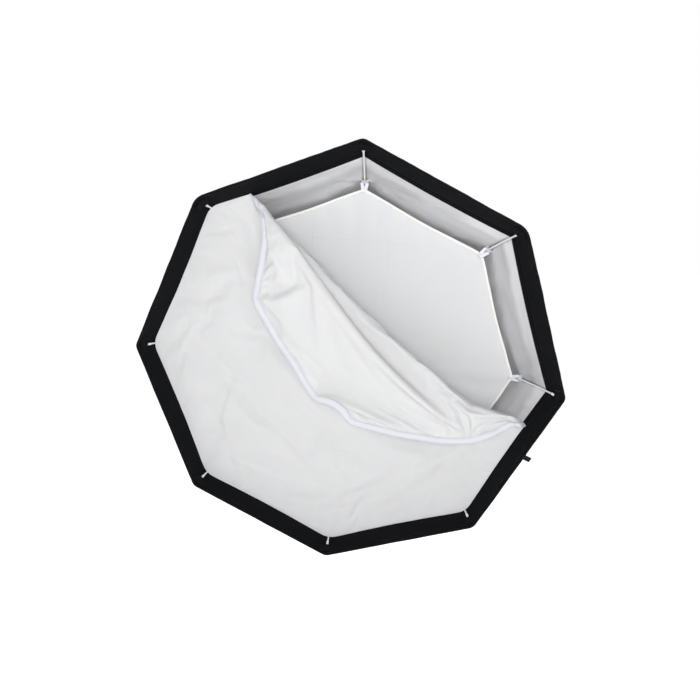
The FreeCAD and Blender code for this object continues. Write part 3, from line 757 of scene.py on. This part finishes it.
def cut_diffuser():
    """Flat places and triangles of the cut cloth: rows along the hem, and even triangles within."""
    places, rows = [], []
    per_side = round(2 * APOTHEM * HALF / CLOTH_STEP)
    for row in range(HEM_ROWS + 1):
        inset = HEM_WIDE * row / HEM_ROWS
        loop = []
        for corner in CORNERS:
            start, end = flat_corner(corner, inset), flat_corner(corner % 8 + 1, inset)
            for k in range(per_side):
                if row == 0 and k == 0 and corner > 3:
                    continue
                loop.append(len(places))
                places.append(start.lerp(end, k / per_side))
        rows.append(loop)
    rise = CLOTH_STEP * math.sqrt(3) / 2
    count = int(DIFFUSER_CORNER / rise) + 1
    for i in range(-count, count + 1):
        for j in range(-count - 1, count + 2):
            p = GRAIN_TURN @ Vector(((j + 0.5 * (i % 2)) * CLOTH_STEP, i * rise))
            if flat_inset(p) > HEM_WIDE + 0.55 * CLOTH_STEP:
                places.append(p)
    edges = []
    for loop in (rows[0], rows[HEM_ROWS]):
        edges += list(zip(loop, loop[1:] + loop[:1]))
    points, _, faces, _, _, _ = delaunay_2d_cdt(places, edges, [], 1, 1e-6)
    return points, faces


# Share of the fold's length, and how far it stands out from the straight line there.
FOLD_SAG = [
    (0, -0.004), (0.09, -0.022), (0.2, -0.032), (0.3, -0.040), (0.45, -0.052),
    (0.6, -0.055), (0.75, -0.056), (0.84, -0.052), (0.92, -0.026), (1, -0.003),
]


def crease_sag(share):
    """How far the fold hangs in from the straight line between its ends, at this share of its length."""
    share = min(1.0, max(0.0, share))
    for (a, low), (b, high) in zip(FOLD_SAG, FOLD_SAG[1:]):
        if share <= b:
            return low + (high - low) * (share - a) / (b - a)


def crease_share(p):
    """How far a flat place is along the fold, as a share of its length."""
    return (p - PEEL_START).dot(CREASE_WAY) / (PEEL_END - PEEL_START).length


def past_fold(p):
    """Distance past the line the cloth is folded on, part of the way to where the fold ends up."""
    return past_crease(p) - FOLD_SHARE * crease_sag(crease_share(p))


def folded(p):
    """Where the cut cloth lies before it is let hang: flat, or rolled forward over the crease."""
    bend = FOLD_BEND
    past = past_fold(p)
    if past <= 0:
        return Vector((p.x, DIFFUSER_Y, p.y))
    foot = p - CREASE_OUT * past
    if past < math.pi * bend:
        out, ahead = bend * math.sin(past / bend), bend * (1 - math.cos(past / bend))
    else:
        out, ahead = math.pi * bend - past, 2 * bend
    foot = foot + CREASE_OUT * out
    ripple = 0.0012 * noise.noise(Vector((p.x * 9, p.y * 9, 0.4)))
    return Vector((foot.x, DIFFUSER_Y - ahead - ripple, foot.y))


# Where the loose hem hangs: metres along it from PEEL_START, then its place across, up, and out from the
# sheet, as the camera sees it.
HEM_HANGS = [
    (0.062, -0.204, 0.294, 0.016), (0.097, -0.203, 0.259, 0.022), (0.153, -0.209, 0.203, 0.020),
    (0.240, -0.221, 0.127, 0.017), (0.305, -0.185, 0.073, 0.018), (0.353, -0.156, 0.030, 0.016),
    (0.404, -0.121, -0.012, 0.018), (0.452, -0.093, -0.056, 0.020), (0.497, -0.062, -0.094, 0.026),
    (0.533, -0.023, -0.096, 0.034), (0.563, 0.004, -0.114, 0.030), (0.591, 0.020, -0.139, 0.020),
    (0.652, 0.081, -0.147, 0.018), (0.717, 0.146, -0.154, 0.022), (0.815, 0.244, -0.156, 0.020),
    (0.878, 0.307, -0.146, 0.018), (0.937, 0.356, -0.119, 0.022), (0.985, 0.395, -0.086, 0.016),
]


def seen_at(across, up, ahead):
    """The place this far in front of the sheet that the camera sees where it would see one on the sheet."""
    far = Vector((across, DIFFUSER_Y, up))
    return far + (EYE - far) * (ahead / (DIFFUSER_Y - EYE.y))


def loose_length(p):
    """How far along the loose hem from PEEL_START a flat place in it is, or None off the loose part."""
    route = [PEEL_START, flat_corner(1), flat_corner(2), flat_corner(3), PEEL_END]
    so_far = 0.0
    for start, end in zip(route, route[1:]):
        way = (end - start).normalized()
        on, deep = (p - start).dot(way), (p - start).dot(Vector((way.y, -way.x)))
        if deep < HEM_WIDE + 0.001 and 0 <= on <= (end - start).length:
            return so_far + on
        so_far += (end - start).length
    return None


def hem_hangs(length):
    """Place across, up and out of the hanging hem, on straight lines between the stated ones."""
    for before, after in zip(HEM_HANGS, HEM_HANGS[1:]):
        if length <= after[0] or after is HEM_HANGS[-1]:
            share = (length - before[0]) / (after[0] - before[0])
            return Vector(before[1:]).lerp(Vector(after[1:]), share)


def pulls(flat):
    """Where a few of the loose vertices are led to: the hem's tape, and the fold's own line."""
    led = {}
    round_off, tape_rise, fold_half = 0.010, 0.1, 0.005
    for i, p in enumerate(flat):
        length = loose_length(p) if flat_inset(p) < HEM_WIDE + 0.0005 else None
        if length is None or not HEM_HANGS[0][0] <= length <= HEM_HANGS[-1][0]:
            continue
        before, after = hem_hangs(length - round_off), hem_hangs(length + round_off)
        across, up, ahead = (before + after + hem_hangs(length)) / 3
        way = (after - before).to_2d().normalized()
        inset = flat_inset(p)
        led[i] = seen_at(across - way.y * inset, up + way.x * inset, ahead + tape_rise * inset)
    middle = math.pi * FOLD_BEND / 2
    for i, p in enumerate(flat):
        share = crease_share(p)
        if abs(past_fold(p) - middle) < fold_half and 0.04 < share < 0.96:
            shift = CREASE_OUT * crease_sag(share) * (1 - FOLD_SHARE)
            led[i] = folded(p) + Vector((shift.x, 0, shift.y))
    return led


def make_guard():
    """A board between the attached cloth and the folded part, there only while the cloth hangs."""
    front, deep, count = DIFFUSER_Y - 0.0110, 0.0030, 32
    points, faces = [], []
    for share in steps(-0.3, 1.3, count):
        top = PEEL_START.lerp(PEEL_END, share) + CREASE_OUT * (crease_sag(share) - 0.014)
        low = PEEL_START.lerp(PEEL_END, share) - CREASE_OUT * 0.6
        points += [(top.x, front, top.y), (top.x, front + deep, top.y)]
        points += [(low.x, front + deep, low.y), (low.x, front, low.y)]
    for n in range(count):
        a, b = 4 * n, 4 * n + 4
        faces += [(a + k, b + k, b + (k + 1) % 4, a + (k + 1) % 4) for k in range(4)]
    mesh = bpy.data.meshes.new("guard")
    mesh.from_pydata(points, [], faces)
    guard = bpy.data.objects.new("guard", mesh)
    bpy.context.scene.collection.objects.link(guard)
    guard.modifiers.new("collision", "COLLISION")
    guard.collision.thickness_outer = 0.0015
    guard.collision.thickness_inner = 0.004
    guard.collision.cloth_friction = 4
    return guard


def hang(cloth, held, led, frames):
    """Let the cloth hang from its held vertices while a few are led into place, and keep its shape."""
    cloth.shape_key_add(name="lying")
    pulled = cloth.shape_key_add(name="pulled")
    for i, place in led.items():
        pulled.data[i].co = place
    for frame, share in ((1, 0.0), (PULL_FRAMES, 1.0)):
        pulled.value = share
        pulled.keyframe_insert("value", frame=frame)
    group = cloth.vertex_groups.new(name="held")
    group.add(held + list(led), 1.0, "REPLACE")
    drape = cloth.modifiers.new("drape", "CLOTH")
    settings = drape.settings
    settings.quality = 7
    settings.mass = 0.02
    settings.tension_stiffness = settings.compression_stiffness = 18
    settings.shear_stiffness = 12
    settings.bending_stiffness = 0.25
    settings.air_damping = 2.0
    settings.vertex_group_mass = "held"
    settings.shrink_min = -0.011
    touch = drape.collision_settings
    touch.distance_min = 0.0015
    touch.collision_quality = 4
    guard = make_guard()
    drape.point_cache.frame_start = 1
    drape.point_cache.frame_end = frames
    scene = bpy.context.scene
    scene.frame_start, scene.frame_end = 1, frames
    for number in range(1, frames + 1):
        scene.frame_set(number)
    shape = cloth.evaluated_get(bpy.context.evaluated_depsgraph_get())
    spots = [v.co.copy() for v in shape.data.vertices]
    cloth.modifiers.remove(drape)
    bpy.data.objects.remove(guard)
    cloth.data.shape_keys.animation_data_clear()
    cloth.shape_key_clear()
    scene.frame_set(1)
    for vertex, spot in zip(cloth.data.vertices, spots):
        vertex.co = spot


def make_diffuser():
    """The cloth with its result applied, its flat places and its triangles."""
    flat, faces = cut_diffuser()
    cloth = new_piece("diffuser_cloth", [folded(p) for p in flat], faces, DIFFUSER)
    lay_uv(cloth, [(p.x + 0.5, p.y + 0.5) for p in flat])
    held = [i for i, p in enumerate(flat) if past_crease(p) < -0.002 and flat_inset(p) < 0.0115]
    hang(cloth, held, pulls(flat), DRAPE_FRAMES)
    return cloth, flat, faces


def make_hem_tape(cloth, flat, faces):
    """The tape sewn along the diffuser's edge, on the face that is behind where the cloth is attached."""
    vertices = cloth.data.vertices
    inset = [flat_inset(p) for p in flat]
    in_hem = [f for f in faces if all(inset[i] < HEM_WIDE + 0.0001 for i in f)]
    used = sorted({i for f in in_hem for i in f})
    number = {i: k for k, i in enumerate(used)}
    centre = max(range(len(flat)), key=lambda i: inset[i])
    facing = 1 if vertices[centre].normal.y > 0 else -1
    points = [vertices[i].co + vertices[i].normal * 0.0008 * facing for i in used]
    hem = new_piece("diffuser_hem_tape", points, [[number[i] for i in f] for f in in_hem], WHITE_TAPE)
    lay_uv(hem, [hem_uv(flat[i]) for i in used])
    soften(thicken(hem, 0.0009, 0))
    return hem


def make_diffuser_pieces():
    cloth, flat, faces = make_diffuser()
    hem = make_hem_tape(cloth, flat, faces)
    soften(thicken(cloth, 0.0004, 0))
    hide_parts("diffuser_sheet", "diffuser_flap")
    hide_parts("diffuser_hem")


# ---------------------------------------------------------------- hardware


TAG_PANEL = 3


def make_tag():
    """Blank folded tag caught in the rim seam."""
    low, high = (Vector(p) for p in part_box("size_tag"))
    middle = (low + high) / 2
    out, beside = panel_ways(TAG_PANEL)
    length, wide, in_seam = 0.019, 0.012, 0.012
    rows, uv_rows = [], []
    for t in steps(0, 1, 8):
        curl = 0.0022 * t * t
        row, uv_row = [], []
        for s in steps(-0.5, 0.5, 6):
            bow = 0.0006 * math.cos(math.pi * s)
            place = middle + out * (length * t - in_seam) + beside * s * wide
            row.append(place + BACK * (curl + bow - 0.0006))
            uv_row.append(((s + 0.5) * wide, t * length))
        rows.append(row)
        uv_rows.append(uv_row)
    tag = new_grid("blank_tag", rows, uv_rows, SEAM)
    soften(thicken(tag, 0.0006, 0))
    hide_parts("size_tag")


def dress(names, material):
    """Give CAD pieces, which keep their own shape, their material."""
    for name in names:
        mesh = nodes[name].data
        mesh.materials.clear()
        mesh.materials.append(material)


def dress_hardware():
    alloy = make_metal(
        "machined_alloy", (0.62, 0.62, 0.63), 0.30, (0.8, 0.8, 0.8), (1, 12, 1), 260, 0.00003,
        Metallic=1.0, Anisotropic=0.5,
    )
    powder = make_metal(
        "powder_coat", (0.022, 0.022, 0.024), 0.55, (0.35, 0.35, 0.36), scale=900, depth=0.00022
    )
    zinc = make_metal("zinc_plate", (0.55, 0.55, 0.57), 0.34, (0.7, 0.7, 0.7), Metallic=1.0)
    brass = make_metal("turned_brass", (0.62, 0.44, 0.18), 0.3, (0.8, 0.65, 0.3), Metallic=1.0)
    moulded = make_metal(
        "moulded_plastic", (0.018, 0.018, 0.018), 0.5, (0.08, 0.08, 0.08), scale=700, depth=0.0001
    )
    spring = make_metal(
        "spring_wire", (0.76, 0.76, 0.75), 0.35, (0.95, 0.95, 0.95), scale=500, depth=0.00002, Metallic=0.25
    )
    milky = make_metal("milky_nylon", (0.80, 0.81, 0.82), 0.4, (0.7, 0.7, 0.7), scale=500, depth=0.00004)
    dress(["bayonet_insert"], alloy)
    dress(["speedring"], powder)
    dress(["retaining_ring", "retaining_screws", "rod_sockets"], zinc)
    dress([f"lock_pad_{k}" for k in LOCKS], brass)
    dress([f"lock_screw_{k}" for k in LOCKS], zinc)
    dress([f"lock_knob_{k}" for k in LOCKS], moulded)
    dress([f"rod_{k}" for k in CORNERS], spring)
    dress(["rod_caps"], milky)


make_walls()
make_seams()
make_corners()
make_straps()
make_baffle()
make_diffuser_pieces()
make_tag()
dress_hardware()


# ---------------------------------------------------------------- camera, light and floor


def make_camera():
    """The photo's camera: where it stood, which way it looked, and how it was turned."""
    camera = bpy.data.cameras.new("camera")
    camera.lens = 25.71
    camera.sensor_width = 36
    camera.clip_end = 100
    holder = bpy.data.objects.new("camera", camera)
    right = Vector((0.9885, 0.1215, 0.0905)).normalized()
    ahead = Vector((-0.0929, 0.9579, -0.2716)).normalized()
    up = right.cross(ahead).normalized()
    right = ahead.cross(up)
    turn = Matrix((right, up, -ahead)).transposed().to_4x4()
    holder.matrix_world = Matrix.Translation(EYE) @ turn
    bpy.context.scene.collection.objects.link(holder)
    bpy.context.scene.camera = holder


def make_lamp(name, place, size, power):
    """A square lamp that faces the middle of the box."""
    lamp = bpy.data.lights.new(name, "AREA")
    lamp.shape = "SQUARE"
    lamp.size = size
    lamp.energy = power
    holder = bpy.data.objects.new(name, lamp)
    holder.location = place
    holder.rotation_euler = (Vector((0, -0.3, 0)) - Vector(place)).to_track_quat("-Z", "Y").to_euler()
    bpy.context.scene.collection.objects.link(holder)


def make_world():
    """Dim even light from all round, behind a background that the camera sees as white."""
    world = bpy.data.worlds.new("studio")
    world.use_nodes = True
    tree = world.node_tree
    glow = tree.nodes["Background"]
    glow.inputs["Strength"].default_value = 0.32
    glow.inputs["Color"].default_value = (0.97, 0.985, 1.0, 1)
    wall = tree.nodes.new("ShaderNodeBackground")
    wall.inputs["Color"].default_value = (1, 1, 1, 1)
    wall.inputs["Strength"].default_value = 1.0
    path = tree.nodes.new("ShaderNodeLightPath")
    mix = tree.nodes.new("ShaderNodeMixShader")
    tree.links.new(path.outputs["Is Camera Ray"], mix.inputs[0])
    tree.links.new(glow.outputs[0], mix.inputs[1])
    tree.links.new(wall.outputs[0], mix.inputs[2])
    tree.links.new(mix.outputs[0], tree.nodes["World Output"].inputs["Surface"])
    bpy.context.scene.world = world


def make_floor():
    floor_surface = Surface("pale_floor", (0.93, 0.93, 0.93), 0.9, Emission_Strength=0.75)
    floor_surface.shader.inputs["Emission Color"].default_value = (1, 1, 1, 1)
    floor_surface.tint(0.3, floor_surface.noise(0.7), (0.91, 0.91, 0.91))
    mesh = bpy.data.meshes.new("floor")
    edge, low = 30, cad_box[0][2] - 1.1
    corners = [(-edge, -edge, low), (edge, -edge, low), (edge, edge, low), (-edge, edge, low)]
    mesh.from_pydata(corners, [], [(0, 1, 2, 3)])
    floor = bpy.data.objects.new("floor", mesh)
    mesh.materials.append(floor_surface.finish())
    bpy.context.scene.collection.objects.link(floor)


def make_studio():
    make_world()
    make_floor()
    make_lamp("key", (0.15, -2.7, 0.8), 1.3, 50)
    make_lamp("back", (1.4, 2.1, 1.3), 1.5, 40)
    bpy.context.scene.view_settings.view_transform = "Standard"


make_camera()
make_studio()
